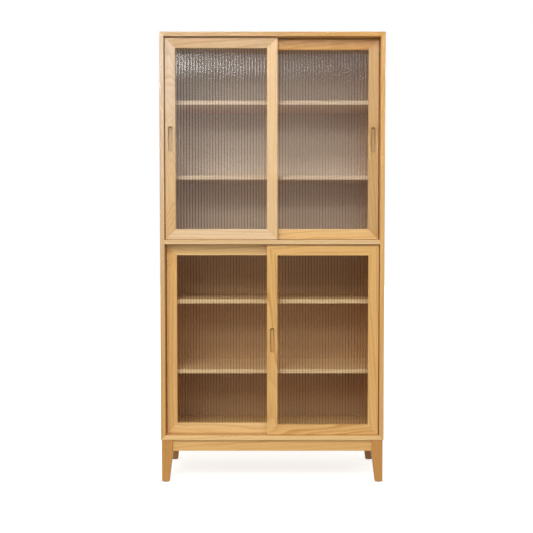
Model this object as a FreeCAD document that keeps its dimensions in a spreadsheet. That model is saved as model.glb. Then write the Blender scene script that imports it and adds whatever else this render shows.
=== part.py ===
import FreeCAD, Part
import math
import os
import Sketcher

# Tall display cabinet in two tiers, each closed by a pair of sliding doors with reeded glass.
# Millimetres, +Z up, +X to the right of someone who faces the doors, and the doors face -Y.
# The origin is on the floor, under the middle of the cabinet.

document = FreeCAD.newDocument("display_cabinet")
dim = document.addObject("Spreadsheet::Sheet", "dim")

DRIVING = {
    # the box: oak boards, mitred at the corners, with a middle panel between two tiers
    "cabinet_width": 900,
    "cabinet_depth": 400,
    "base_height": 172,
    "lower_opening": 774,
    "upper_opening": 808,
    "panel_thickness": 18,
    "edge_round": 1.5,
    "spline_reach": 6,
    "spline_end_inset": 12,
    # back panels, screwed into a rebate
    "back_thickness": 6,
    "back_rebate_width": 8,
    "back_rebate_depth": 9,
    "back_edge_gap": 0.5,
    # shelves, with the rise of each underside above the floor of its tier
    "shelf_thickness": 17,
    "shelf_setback": 76,
    "shelf_end_gap": 1,
    "upper_high_rise": 547,
    "upper_low_rise": 244,
    "lower_high_rise": 530,
    "lower_low_rise": 242,
    "pin_radius": 2.5,
    "pin_head_radius": 3.5,
    "pin_reach": 9,
    "pin_inset": 40,
    # doors
    "door_setback": 12,
    "door_thickness": 24,
    "door_pitch": 34,
    "door_side_gap": 3,
    "door_sill_gap": 1.2,
    "door_head_gap": 3,
    "frame_width": 42,
    "glass_lip": 8,
    "glass_rebate": 8,
    "key_reach": 14,
    "key_inset": 17,
    "key_thickness": 5,
    # reeded glass
    "glass_sheet": 3.8,
    "rib_depth": 1.6,
    "rib_pitch": 11.6,
    "rib_count": 32,
    "glass_edge_gap": 1,
    "glass_face_gap": 0.2,
    # finger pulls
    "pull_radius": 8,
    "pull_height": 100,
    "pull_depth": 10,
    "pull_round": 2,
    # runners, guides and the channels that they slide in
    "runner_radius": 4,
    "runner_length": 36,
    "runner_inset": 70,
    "runner_embed": 12,
    "guide_engagement": 4,
    "running_gap": 0.1,
    "track_width": 12,
    "track_wall": 1.5,
    "track_floor": 1.2,
    "track_end_gap": 0.5,
    "sill_track_depth": 4,
    "head_track_depth": 8,
    # bumpers that the doors close against
    "bumper_radius": 4,
    "bumper_thickness": 2.8,
    "bumper_inset": 60,
    # leg frame
    "leg_inset": 3,
    "leg_top": 44,
    "leg_foot": 30,
    "leg_round": 2.5,
    "glide_radius": 10,
    "glide_thickness": 2,
    "apron_height": 46,
    "apron_thickness": 18,
    "apron_setback": 9,
    "block_reach": 70,
    "block_height": 30,
    # dowels and screws
    "dowel_radius": 4,
    "dowel_length": 30,
    "dowel_rise": 11,
    "panel_dowel_sink": 10,
    "panel_dowel_pitch": 120,
    "base_screw_length": 42,
    "base_screw_radius": 2.2,
    "base_screw_head": 4.5,
    "base_screw_near": 12,
    "base_screw_far": 44,
    "back_screw_length": 18,
    "back_screw_radius": 1.6,
    "back_screw_head": 3.6,
    "back_screw_head_height": 2,
    "back_screw_edge": 4.5,
    "back_screw_end_inset": 48,
    "back_screw_pitch": 270,
}
for row, (alias, size) in enumerate(DRIVING.items(), 1):
    dim.set(f"A{row}", alias.replace("_", " "))
    dim.set(f"B{row}", str(size))
    dim.setAlias(f"B{row}", alias)
document.recompute()

# Planes and spans that several pieces share, as expressions of the driving dimensions.
front_y = "(-dim.cabinet_depth / 2)"
side_x = "(dim.cabinet_width / 2)"
inner_x = "(dim.cabinet_width / 2 - dim.panel_thickness)"
inner_width = "(dim.cabinet_width - 2 * dim.panel_thickness)"
carcass_height = "(dim.lower_opening + dim.upper_opening + 3 * dim.panel_thickness)"
top_z = f"(dim.base_height + {carcass_height})"
lower_sill = "(dim.base_height + dim.panel_thickness)"
lower_head = f"({lower_sill} + dim.lower_opening)"
upper_sill = f"({lower_head} + dim.panel_thickness)"
upper_head = f"({upper_sill} + dim.upper_opening)"
rebate_y = "(dim.cabinet_depth / 2 - dim.back_rebate_depth)"
front_track_y = f"({front_y} + dim.door_setback + dim.door_thickness / 2)"
rear_track_y = f"({front_track_y} + dim.door_pitch)"

# Lengths under TOUCH count as none, and a pocket has to take away at least LEAST_CUT cubic millimetres.
TOUCH = 1e-6
LEAST_CUT = 1
NODES = []


def number(expression):
    """The present value of an expression."""
    return float(dim.evalExpression(expression))


def node(part):
    """Counts a finished part among the pieces of the cabinet."""
    NODES.append(part)
    return part


def place(part, x, y, z, axis=(0, 0, 1), angle=0):
    """Turns a part about an axis through its own origin, then stands it at x, y, z."""
    turn = FreeCAD.Rotation(FreeCAD.Vector(*axis), angle)
    part.Placement = FreeCAD.Placement(FreeCAD.Vector(), turn)
    for letter, expression in zip("xyz", (x, y, z)):
        part.setExpression(f"Placement.Base.{letter}", expression)
    return part


def primitive(kind, name, **sizes):
    """A Part primitive whose sizes are expressions."""
    part = document.addObject(f"Part::{kind}", name)
    for size, expression in sizes.items():
        part.setExpression(size, expression)
    return part


def group(name, members):
    """Separate solids of one kind that share a name."""
    compound = document.addObject("Part::Compound", name)
    compound.Links = members
    return compound


def machined(name, board, tools):
    """A board with its joints cut: each tool takes away its own shape."""
    part = document.addObject("Part::Cut", name)
    part.Base = board
    part.Tool = group(f"{name}_cutters", tools)
    return node(part)


def sketch_on(body, name, role):
    """An empty sketch on one of a body's own origin planes."""
    sketch = body.newObject("Sketcher::SketchObject", name)
    plane = next(feature for feature in body.Origin.OriginFeatures if feature.Role == role)
    sketch.AttachmentSupport = (plane, [""])
    sketch.MapMode = "FlatFace"
    return sketch


def pin_point(sketch, geometry, point, across, up):
    """Holds a sketch point at two distances from the sketch's origin."""
    for direction, axis, expression in (("DistanceX", -2, across), ("DistanceY", -1, up)):
        if expression == "0":
            sketch.addConstraint(Sketcher.Constraint("PointOnObject", geometry, point, axis))
            continue
        limit = Sketcher.Constraint(direction, -1, 1, geometry, point, number(expression))
        index = sketch.addConstraint(limit)
        sketch.setExpression(f"Constraints[{index}]", expression)


def outline(body, name, role, points):
    """A closed sketch of straight lines through points, each a pair of expressions."""
    sketch = sketch_on(body, name, role)
    corners = [FreeCAD.Vector(number(across), number(up), 0) for across, up in points]
    following = corners[1:] + corners[:1]
    for corner, next_corner in zip(corners, following):
        sketch.addGeometry(Part.LineSegment(corner, next_corner), False)
    for index in range(len(points)):
        joined = (index + 1) % len(points)
        sketch.addConstraint(Sketcher.Constraint("Coincident", index, 2, joined, 1))
    for index, (across, up) in enumerate(points):
        pin_point(sketch, index, 1, across, up)
    return sketch


def slot_outline(body, name, role, centre, low, high, radius):
    """A closed sketch of an upright slot with round ends; centre, low and high place its arcs."""
    sketch = sketch_on(body, name, role)
    size = number(radius)
    axis = FreeCAD.Vector(0, 0, 1)
    upper = FreeCAD.Vector(number(centre), number(high), 0)
    lower = FreeCAD.Vector(number(centre), number(low), 0)
    across = FreeCAD.Vector(size, 0, 0)
    sketch.addGeometry(Part.ArcOfCircle(Part.Circle(upper, axis, size), 0, math.pi), False)
    sketch.addGeometry(Part.LineSegment(upper - across, lower - across), False)
    sketch.addGeometry(Part.ArcOfCircle(Part.Circle(lower, axis, size), math.pi, 2 * math.pi), False)
    sketch.addGeometry(Part.LineSegment(lower + across, upper + across), False)
    for index in range(4):
        sketch.addConstraint(Sketcher.Constraint("Tangent", index, 2, (index + 1) % 4, 1))
    sketch.addConstraint(Sketcher.Constraint("Equal", 0, 2))
    limit = sketch.addConstraint(Sketcher.Constraint("Radius", 0, size))
    sketch.setExpression(f"Constraints[{limit}]", radius)
    pin_point(sketch, 0, 3, centre, high)
    pin_point(sketch, 2, 3, centre, low)
    return sketch


def padded(body, sketch, length):
    """Pads a sketch into the body, to the right, to the rear or upwards."""
    pad = body.newObject("PartDesign::Pad", f"{sketch.Name}_pad")
    pad.Profile = sketch
    pad.setExpression("Length", length)
    pad.Reversed = sketch.AttachmentSupport[0][0].Role == "XZ_Plane"
    return pad


def extruded(name, role, points, length):
    """A body of one straight-sided outline."""
    body = document.addObject("PartDesign::Body", name)
    padded(body, outline(body, f"{name}_outline", role, points), length)
    return body


def block(name, length, depth, height):
    """A rectangular board: length along X, depth along Y, height along Z."""
    points = [("0", "0"), (length, "0"), (length, height), ("0", height)]
    return extruded(name, "XZ_Plane", points, depth)


def round_edges(body, radius, wanted):
    """Rounds every edge of a body for which wanted(start, end) is true."""
    document.recompute()
    base = body.Tip
    names = []
    for index, edge in enumerate(base.Shape.Edges, 1):
        ends = [vertex.Point for vertex in edge.Vertexes]
        if len(ends) == 2 and wanted(*ends):
            names.append(f"Edge{index}")
    fillet = body.newObject("PartDesign::Fillet", f"{body.Name}_round_{base.Name}")
    fillet.Base = (base, names)
    fillet.setExpression("Radius", radius)
    return body


def at_front(start, end):
    """Whether an edge lies in the front plane of its board."""
    return abs(start.y) < TOUCH and abs(end.y) < TOUCH


def along_front(start, end):
    """Whether a front edge runs straight along its board."""
    return at_front(start, end) and abs(start.x - end.x) < TOUCH


def cut_volume(feature, base):
    """Stops if a pocket points away from its solid and so cuts nothing."""
    document.recompute()
    if base.Shape.Volume - feature.Shape.Volume < LEAST_CUT:
        raise RuntimeError(f"{feature.Name} cuts nothing")


def mitred_board(name, length, face, depth, rebate_width, rebate_depth):
    """A board mitred at both ends, with a rebate along its inner rear edge.

    Its outer edge runs up Z at X 0, its inner edge is at X = face, and its front is at Y 0.
    """
    inner_end = f"{length} - {face}"
    points = [("0", "0"), (face, face), (face, inner_end), ("0", length)]
    body = extruded(name, "XZ_Plane", points, depth)
    base = body.Tip
    edge = f"{face} - {rebate_width}"
    shoulder = f"{depth} - {rebate_depth}"
    strip = [(edge, shoulder), (face, shoulder), (face, depth), (edge, depth)]
    rebate = body.newObject("PartDesign::Pocket", f"{name}_rebate")
    rebate.Profile = outline(body, f"{name}_rebate_outline", "XY_Plane", strip)
    rebate.Type = "ThroughAll"
    rebate.Reversed = True
    cut_volume(rebate, base)
    return round_edges(body, "dim.edge_round", along_front)


# Ways in which a piece made upright can point, as its turn in degrees about Y.
UP, DOWN, RIGHT, LEFT = 0, 180, 90, -90


def stand_member(body, x, y, z, heading):
    """Stands a mitred board so that it runs up, down, to the right or to the left."""
    return place(body, x, y, z, axis=(0, 1, 0), angle=heading)


# Carcass boards before their joints are cut.
panel_sizes = (
    "dim.panel_thickness",
    "dim.cabinet_depth",
    "dim.back_rebate_width",
    "dim.back_rebate_depth",
)
left_board = mitred_board("left_side_board", carcass_height, *panel_sizes)
stand_member(left_board, f"-{side_x}", front_y, "dim.base_height", UP)
right_board = mitred_board("right_side_board", carcass_height, *panel_sizes)
stand_member(right_board, side_x, front_y, top_z, DOWN)
top_board = mitred_board("top_board", "dim.cabinet_width", *panel_sizes)
stand_member(top_board, f"-{side_x}", front_y, top_z, RIGHT)
bottom_board = mitred_board("bottom_board", "dim.cabinet_width", *panel_sizes)
stand_member(bottom_board, side_x, front_y, "dim.base_height", LEFT)

middle_depth = "dim.cabinet_depth - dim.back_rebate_depth"
middle_board = block("middle_board", inner_width, middle_depth, "dim.panel_thickness")
round_edges(middle_board, "dim.edge_round", lambda a, b: at_front(a, b) and abs(a.z - b.z) < TOUCH)
place(middle_board, f"-{inner_x}", front_y, lower_head)

# Splines: square bars along the mitres, set cornerwise so that their sides cross the joint.
splines = []
spline_length = "dim.cabinet_depth - dim.back_rebate_depth - 2 * dim.spline_end_inset"
mitre_x = f"({side_x} - dim.panel_thickness / 2)"
mitre_z = {
    "low": "dim.base_height + dim.panel_thickness / 2",
    "high": f"{top_z} - dim.panel_thickness / 2",
}
for x_name, x in (("left", f"-{mitre_x}"), ("right", mitre_x)):
    for z_name, z in mitre_z.items():
        name = f"{z_name}_{x_name}_spline"
        bar = primitive("Prism", name, Circumradius="dim.spline_reach", Height=spline_length)
        bar.Polygon = 4
        place(bar, x, f"{front_y} + dim.spline_end_inset", z, axis=(1, 0, 0), angle=-90)
        splines.append(bar)
carcass_splines = node(group("carcass_splines", splines))


def dowel(name, x, y, z, axis, angle):
    """A round dowel that starts at x, y, z."""
    peg = primitive("Cylinder", name, Radius="dim.dowel_radius", Height="dim.dowel_length")
    return place(peg, x, y, z, axis, angle)


# Dowels that carry the middle panel, one pitch apart from the front.
dowel_list = []
middle_z = f"{lower_head} + dim.panel_thickness / 2"
for index in (1, 2, 3):
    y = f"{front_y} + {index} * dim.panel_dowel_pitch"
    left_start = f"-{inner_x} - dim.panel_dowel_sink"
    right_start = f"{inner_x} + dim.panel_dowel_sink - dim.dowel_length"
    dowel_list.append(dowel(f"left_dowel_{index}", left_start, y, middle_z, (0, 1, 0), 90))
    dowel_list.append(dowel(f"right_dowel_{index}", right_start, y, middle_z, (0, 1, 0), 90))

# Channels for the doors, let into grooves: two in each sill and two in each head.
sills = {"upper": upper_sill, "lower": lower_sill}
heads = {"upper": upper_head, "lower": lower_head}
track_rows = {"front": front_track_y, "rear": rear_track_y}


def channel(name, depth):
    """A plastic U channel that opens upwards, its base at Z 0 and its middle at Y 0."""
    outer = "dim.track_width / 2"
    inner = "(dim.track_width / 2 - dim.track_wall)"
    profile = [
        (f"-{outer}", "0"),
        (outer, "0"),
        (outer, depth),
        (inner, depth),
        (inner, "dim.track_floor"),
        (f"-{inner}", "dim.track_floor"),
        (f"-{inner}", depth),
        (f"-{outer}", depth),
    ]
    return extruded(name, "YZ_Plane", profile, f"{inner_width} - 2 * dim.track_end_gap")


channels = []
grooves = {}
for tier, sill in sills.items():
    head = heads[tier]
    for row, y in track_rows.items():
        start_x = f"-{inner_x} + dim.track_end_gap"
        sill_channel = channel(f"{tier}_{row}_sill_channel", "dim.sill_track_depth")
        place(sill_channel, start_x, y, f"{sill} - dim.sill_track_depth")
        head_channel = channel(f"{tier}_{row}_head_channel", "dim.head_track_depth")
        place(head_channel, start_x, y, f"{head} + dim.head_track_depth", axis=(1, 0, 0), angle=180)
        channels += [sill_channel, head_channel]
        groove_spans = {
            "sill": ("dim.sill_track_depth", f"{sill} - dim.sill_track_depth"),
            "head": ("dim.head_track_depth", head),
        }
        for edge, (depth, z) in groove_spans.items():
            sizes = {"Length": inner_width, "Width": "dim.track_width", "Height": depth}
            groove = primitive("Box", f"{tier}_{row}_{edge}_groove", **sizes)
            place(groove, f"-{inner_x}", f"{y} - dim.track_width / 2", z)
            grooves.setdefault(f"{tier}_{edge}", []).append(groove)
door_tracks = node(group("door_tracks", channels))

# Shelves, each on four pins.
shelf_length = f"({inner_width} - 2 * dim.shelf_end_gap)"
shelf_depth = f"({rebate_y} - dim.shelf_end_gap - {front_y} - dim.shelf_setback)"
shelf_front = f"({front_y} + dim.shelf_setback)"


def shelf_pin(name, x, y, z, heading):
    """A steel pin: a thin shank in the side panel and a thicker head under the shelf."""
    shank = primitive("Cylinder", f"{name}_shank", Radius="dim.pin_radius", Height="2 * dim.pin_reach")
    head = primitive("Cylinder", f"{name}_head", Radius="dim.pin_head_radius", Height="dim.pin_reach")
    start = "dim.pin_reach" if heading == RIGHT else "-dim.pin_reach"
    place(shank, f"{x} - {start}", y, z, axis=(0, 1, 0), angle=heading)
    place(head, x, y, z, axis=(0, 1, 0), angle=heading)
    pin = document.addObject("Part::Fuse", name)
    pin.Base = shank
    pin.Tool = head
    return pin


pins = []
for tier, sill in sills.items():
    for level in ("high", "low"):
        name = f"{tier}_{level}_shelf"
        underside = f"{sill} + dim.{tier}_{level}_rise"
        shelf = block(name, shelf_length, shelf_depth, "dim.shelf_thickness")
        round_edges(shelf, "dim.edge_round", lambda a, b: at_front(a, b) and abs(a.z - b.z) < TOUCH)
        place(shelf, f"-{inner_x} + dim.shelf_end_gap", shelf_front, underside)
        node(shelf)
        pin_z = f"{underside} - dim.pin_head_radius - dim.running_gap"
        pin_rows = {
            "front": f"{shelf_front} + dim.pin_inset",
            "rear": f"{shelf_front} + {shelf_depth} - dim.pin_inset",
        }
        for row, y in pin_rows.items():
            pins.append(shelf_pin(f"{name}_{row}_left_pin", f"-{inner_x}", y, pin_z, RIGHT))
            pins.append(shelf_pin(f"{name}_{row}_right_pin", inner_x, y, pin_z, LEFT))
shelf_pins = node(group("shelf_pins", pins))

# Back panels: thin boards in the rebate, meeting behind the middle panel.
back_seam = f"({lower_head} + dim.panel_thickness / 2)"
back_face = f"({rebate_y} + dim.back_thickness)"
back_overlap = "(dim.back_rebate_width - dim.back_edge_gap)"
back_length = f"({inner_width} + 2 * {back_overlap})"
back_left = f"-{inner_x} - {back_overlap}"
back_spans = {
    "upper": (f"({back_seam} + dim.back_edge_gap)", f"({upper_head} + {back_overlap})"),
    "lower": (f"({lower_sill} - {back_overlap})", f"({back_seam} - dim.back_edge_gap)"),
}
back_screw_sizes = (
    "dim.back_screw_length",
    "dim.back_screw_radius",
    "dim.back_screw_head",
    "dim.back_screw_head_height",
)


def screw(name, length, radius, head, head_height, x, y, z, axis, angle):
    """A screw whose head starts at x, y, z, with a tapered head and a plain shank."""
    cone = primitive("Cone", f"{name}_head", Radius1=head, Radius2=radius, Height=head_height)
    shank = primitive("Cylinder", f"{name}_shank", Radius=radius, Height=length)
    for piece in (cone, shank):
        place(piece, x, y, z, axis, angle)
    whole = document.addObject("Part::Fuse", name)
    whole.Base = shank
    whole.Tool = cone
    return whole


def back_screw(name, x, z):
    """A screw driven forwards through a back panel, its head sunk flush with the panel's rear face."""
    return screw(name, *back_screw_sizes, x, back_face, z, (1, 0, 0), 90)


# Screws up both sides of each back panel, and three along its lower and upper edges.
SIDE_SCREW_GAPS = 3
back_screw_list = []
for tier, (low, high) in back_spans.items():
    spacing = f"({high} - {low} - 2 * dim.back_screw_end_inset) / {SIDE_SCREW_GAPS}"
    for index in range(SIDE_SCREW_GAPS + 1):
        z = f"{low} + dim.back_screw_end_inset + {index} * {spacing}"
        for side, sign in (("left", "-"), ("right", "")):
            x = f"{sign}({inner_x} + dim.back_rebate_width / 2)"
            back_screw_list.append(back_screw(f"{tier}_back_{side}_screw_{index + 1}", x, z))
    for index in (-1, 0, 1):
        x = f"{index} * dim.back_screw_pitch"
        screw_rows = {"low": f"{low} + dim.back_screw_edge", "high": f"{high} - dim.back_screw_edge"}
        for row, z in screw_rows.items():
            back_screw_list.append(back_screw(f"{tier}_back_{row}_screw_{index + 2}", x, z))
back_screws = node(group("back_panel_screws", back_screw_list))

for tier, (low, high) in back_spans.items():
    back = block(f"{tier}_back_board", back_length, "dim.back_thickness", f"{high} - {low}")
    place(back, back_left, rebate_y, low)
    machined(f"{tier}_back_panel", back, [back_screws])

# Leg frame: four legs that taper on their inner faces below the aprons.
leg_x = f"({side_x} - dim.leg_inset)"
leg_y = "(dim.cabinet_depth / 2 - dim.leg_inset)"
apron_z = "(dim.base_height - dim.apron_height)"
taper_rise = f"({apron_z} - dim.glide_thickness)"


def square(body, name, size):
    """A square sketch with one corner at the origin."""
    return outline(body, name, "XY_Plane", [("0", "0"), (size, "0"), (size, size), ("0", size)])


def leg_body(name):
    """A leg whose outer corner runs up Z: tapered below, square where the aprons join.

    Its long edges and the edges of its foot are rounded, and its top stays flat.
    """
    body = document.addObject("PartDesign::Body", name)
    foot = square(body, f"{name}_foot", "dim.leg_foot")
    shoulder = square(body, f"{name}_shoulder", "dim.leg_top")
    shoulder.setExpression("AttachmentOffset.Base.z", taper_rise)
    document.recompute()
    taper = body.newObject("PartDesign::AdditiveLoft", f"{name}_taper")
    taper.Profile = foot
    taper.Sections = [shoulder]
    taper.Ruled = True
    document.recompute()
    padded(body, shoulder, "dim.apron_height")
    return round_edges(body, "dim.leg_round", lambda a, b: abs(a.z - b.z) > TOUCH or a.z < TOUCH)


corners = {
    "front_left": (f"-{leg_x}", f"-{leg_y}", 0, 1, 1),
    "front_right": (leg_x, f"-{leg_y}", 90, -1, 1),
    "rear_right": (leg_x, leg_y, 180, -1, -1),
    "rear_left": (f"-{leg_x}", leg_y, 270, 1, -1),
}
leg_boards = {}
glides = []
for corner, (x, y, turn, inward_x, inward_y) in corners.items():
    leg = leg_body(f"{corner}_leg_board")
    leg_boards[corner] = place(leg, x, y, "dim.glide_thickness", angle=turn)
    glide_sizes = {"Radius": "dim.glide_radius", "Height": "dim.glide_thickness"}
    glide = primitive("Cylinder", f"{corner}_glide", **glide_sizes)
    glide_x = f"{x} + {inward_x} * dim.leg_foot / 2"
    glide_y = f"{y} + {inward_y} * dim.leg_foot / 2"
    glides.append(place(glide, glide_x, glide_y, "0"))
node(group("floor_glides", glides))

# Aprons between the legs, set back from the legs' outer faces, two dowels in each end.
apron_boards = {}
long_apron = f"(2 * {leg_x} - 2 * dim.leg_top)"
short_apron = f"(2 * {leg_y} - 2 * dim.leg_top)"
apron_middle = "(dim.apron_setback + dim.apron_thickness / 2)"
dowel_rows = {
    "low": f"{apron_z} + dim.apron_height / 2 - dim.dowel_rise",
    "high": f"{apron_z} + dim.apron_height / 2 + dim.dowel_rise",
}
for side, sign in (("front", "-"), ("rear", "")):
    name = f"{side}_apron_board"
    y = f"{sign}({leg_y} - {apron_middle})"
    board = block(name, long_apron, "dim.apron_thickness", "dim.apron_height")
    place(board, f"-{leg_x} + dim.leg_top", f"{y} - dim.apron_thickness / 2", apron_z)
    apron_boards[side] = board
    for row, z in dowel_rows.items():
        left_start = f"-{leg_x} + dim.leg_top - dim.dowel_length / 2"
        right_start = f"{leg_x} - dim.leg_top - dim.dowel_length / 2"
        dowel_list.append(dowel(f"{side}_left_{row}_dowel", left_start, y, z, (0, 1, 0), 90))
        dowel_list.append(dowel(f"{side}_right_{row}_dowel", right_start, y, z, (0, 1, 0), 90))
for side, sign in (("left", "-"), ("right", "")):
    name = f"{side}_apron_board"
    x = f"{sign}({leg_x} - {apron_middle})"
    board = block(name, "dim.apron_thickness", short_apron, "dim.apron_height")
    place(board, f"{x} - dim.apron_thickness / 2", f"-{leg_y} + dim.leg_top", apron_z)
    apron_boards[side] = board
    for row, z in dowel_rows.items():
        front_start = f"-{leg_y} + dim.leg_top - dim.dowel_length / 2"
        rear_start = f"{leg_y} - dim.leg_top - dim.dowel_length / 2"
        dowel_list.append(dowel(f"{side}_front_{row}_dowel", x, front_start, z, (1, 0, 0), -90))
        dowel_list.append(dowel(f"{side}_rear_{row}_dowel", x, rear_start, z, (1, 0, 0), -90))
dowels = node(group("dowels", dowel_list))
for corner, board in leg_boards.items():
    machined(f"{corner}_leg", board, [dowels])
for side, board in apron_boards.items():
    machined(f"{side}_apron", board, [dowels])

# Corner blocks behind the legs, each screwed up into the bottom panel.
notch = "(dim.leg_top - dim.apron_setback - dim.apron_thickness)"
block_corner = "(dim.apron_setback + dim.apron_thickness)"
block_z = "(dim.base_height - dim.block_height)"
block_outline = [
    (notch, "0"),
    ("dim.block_reach", "0"),
    ("0", "dim.block_reach"),
    ("0", notch),
    (notch, notch),
]
block_bodies = []
base_screw_list = []
base_screw_sizes = (
    "dim.base_screw_length",
    "dim.base_screw_radius",
    "dim.base_screw_head",
    "dim.base_screw_head",
)
for corner, (x, y, turn, inward_x, inward_y) in corners.items():
    inner_corner_x = f"{x} + {inward_x} * {block_corner}"
    inner_corner_y = f"{y} + {inward_y} * {block_corner}"
    body = extruded(f"{corner}_corner_block", "XY_Plane", block_outline, "dim.block_height")
    block_bodies.append(place(body, inner_corner_x, inner_corner_y, block_z, angle=turn))
    for index, (over_x, over_y) in enumerate((("near", "far"), ("far", "near")), 1):
        screw_x = f"{inner_corner_x} + {inward_x} * dim.base_screw_{over_x}"
        screw_y = f"{inner_corner_y} + {inward_y} * dim.base_screw_{over_y}"
        name = f"{corner}_base_screw_{index}"
        base_screw_list.append(screw(name, *base_screw_sizes, screw_x, screw_y, block_z, (0, 0, 1), 0))
base_screws = node(group("base_screws", base_screw_list))
machined("corner_blocks", group("corner_block_boards", block_bodies), [base_screws])

# Carcass panels with their joints cut.
machined("left_side_panel", left_board, [carcass_splines, dowels, shelf_pins, back_screws])
machined("right_side_panel", right_board, [carcass_splines, dowels, shelf_pins, back_screws])
machined("top_panel", top_board, [carcass_splines, back_screws] + grooves["upper_head"])
machined("bottom_panel", bottom_board, [carcass_splines, back_screws, base_screws] + grooves["lower_sill"])
middle_grooves = grooves["upper_sill"] + grooves["lower_head"]
machined("middle_panel", middle_board, [dowels, back_screws] + middle_grooves)


# Doors: mitred frames round reeded glass. Each pair overlaps by the width of one stile.
door_width = f"(({inner_width} - 2 * dim.door_side_gap + dim.frame_width) / 2)"
door_left_x = {
    "left": f"(-{inner_x} + dim.door_side_gap)",
    "right": f"({inner_x} - dim.door_side_gap - {door_width})",
}
door_row = {
    ("upper", "left"): "front",
    ("upper", "right"): "rear",
    ("lower", "left"): "rear",
    ("lower", "right"): "front",
}
# The stile of each door that carries a finger pull; the lower left door has none.
pull_stile = {
    ("upper", "left"): "left",
    ("upper", "right"): "right",
    ("lower", "right"): "left",
}


def cut_pull(body, height):
    """Routs a finger pull with round ends into the middle of a stile's front."""
    base = body.Tip
    centre = "dim.frame_width / 2"
    straight = "(dim.pull_height / 2 - dim.pull_radius)"
    low = f"{height} / 2 - {straight}"
    high = f"{height} / 2 + {straight}"
    slot = (centre, low, high, "dim.pull_radius")
    pull = body.newObject("PartDesign::Pocket", f"{body.Name}_pull")
    pull.Profile = slot_outline(body, f"{body.Name}_pull_outline", "XZ_Plane", *slot)
    pull.setExpression("Length", "dim.pull_depth")
    cut_volume(pull, base)
    middle = number(centre)
    reach = number("dim.pull_radius") + TOUCH
    round_edges(body, "dim.pull_round", lambda a, b: at_front(a, b) and abs(a.x - middle) < reach)


def reeded_glass(name, width, height):
    """A pane with a flat rear face and shallow round ribs running up its front."""
    body = document.addObject("PartDesign::Body", name)
    rear = "dim.rib_depth + dim.glass_sheet"
    section = [("0", "dim.rib_depth"), (width, "dim.rib_depth"), (width, rear), ("0", rear)]
    padded(body, outline(body, f"{name}_sheet", "XY_Plane", section), height)
    start = f"({width} - dim.rib_count * dim.rib_pitch) / 2"
    radius = "((dim.rib_pitch ^ 2 / 4 + dim.rib_depth ^ 2) / (2 * dim.rib_depth))"
    sketch = sketch_on(body, f"{name}_rib", "XY_Plane")
    left = FreeCAD.Vector(number(start), number("dim.rib_depth"), 0)
    right = left + FreeCAD.Vector(number("dim.rib_pitch"), 0, 0)
    size = number(radius)
    half_angle = math.asin(number("dim.rib_pitch") / 2 / size)
    centre = FreeCAD.Vector((left.x + right.x) / 2, size, 0)
    circle = Part.Circle(centre, FreeCAD.Vector(0, 0, 1), size)
    down = -math.pi / 2
    sketch.addGeometry(Part.LineSegment(left, right), False)
    sketch.addGeometry(Part.ArcOfCircle(circle, down - half_angle, down + half_angle), False)
    sketch.addConstraint(Sketcher.Constraint("Coincident", 1, 1, 0, 1))
    sketch.addConstraint(Sketcher.Constraint("Coincident", 1, 2, 0, 2))
    pin_point(sketch, 0, 1, start, "dim.rib_depth")
    pin_point(sketch, 0, 2, f"{start} + dim.rib_pitch", "dim.rib_depth")
    limit = sketch.addConstraint(Sketcher.Constraint("Radius", 1, size))
    sketch.setExpression(f"Constraints[{limit}]", radius)
    rib = padded(body, sketch, height)
    document.recompute()
    ribs = body.newObject("PartDesign::LinearPattern", f"{name}_ribs")
    ribs.Originals = [rib]
    ribs.Direction = (sketch, ["H_Axis"])
    ribs.setExpression("Length", "dim.rib_pitch * (dim.rib_count - 1)")
    ribs.setExpression("Occurrences", "dim.rib_count")
    body.Tip = ribs
    return body


def slider(name, height, x, y, z):
    """A nylon block with round ends, lying along X, its middle at x and y and its foot at z."""
    body = document.addObject("PartDesign::Body", name)
    straight = "(dim.runner_length / 2 - dim.runner_radius)"
    ends = (f"-{straight}", straight)
    sketch = slot_outline(body, f"{name}_outline", "XY_Plane", "0", *ends, "dim.runner_radius")
    padded(body, sketch, height)
    return place(body, x, y, z, angle=90)


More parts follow.
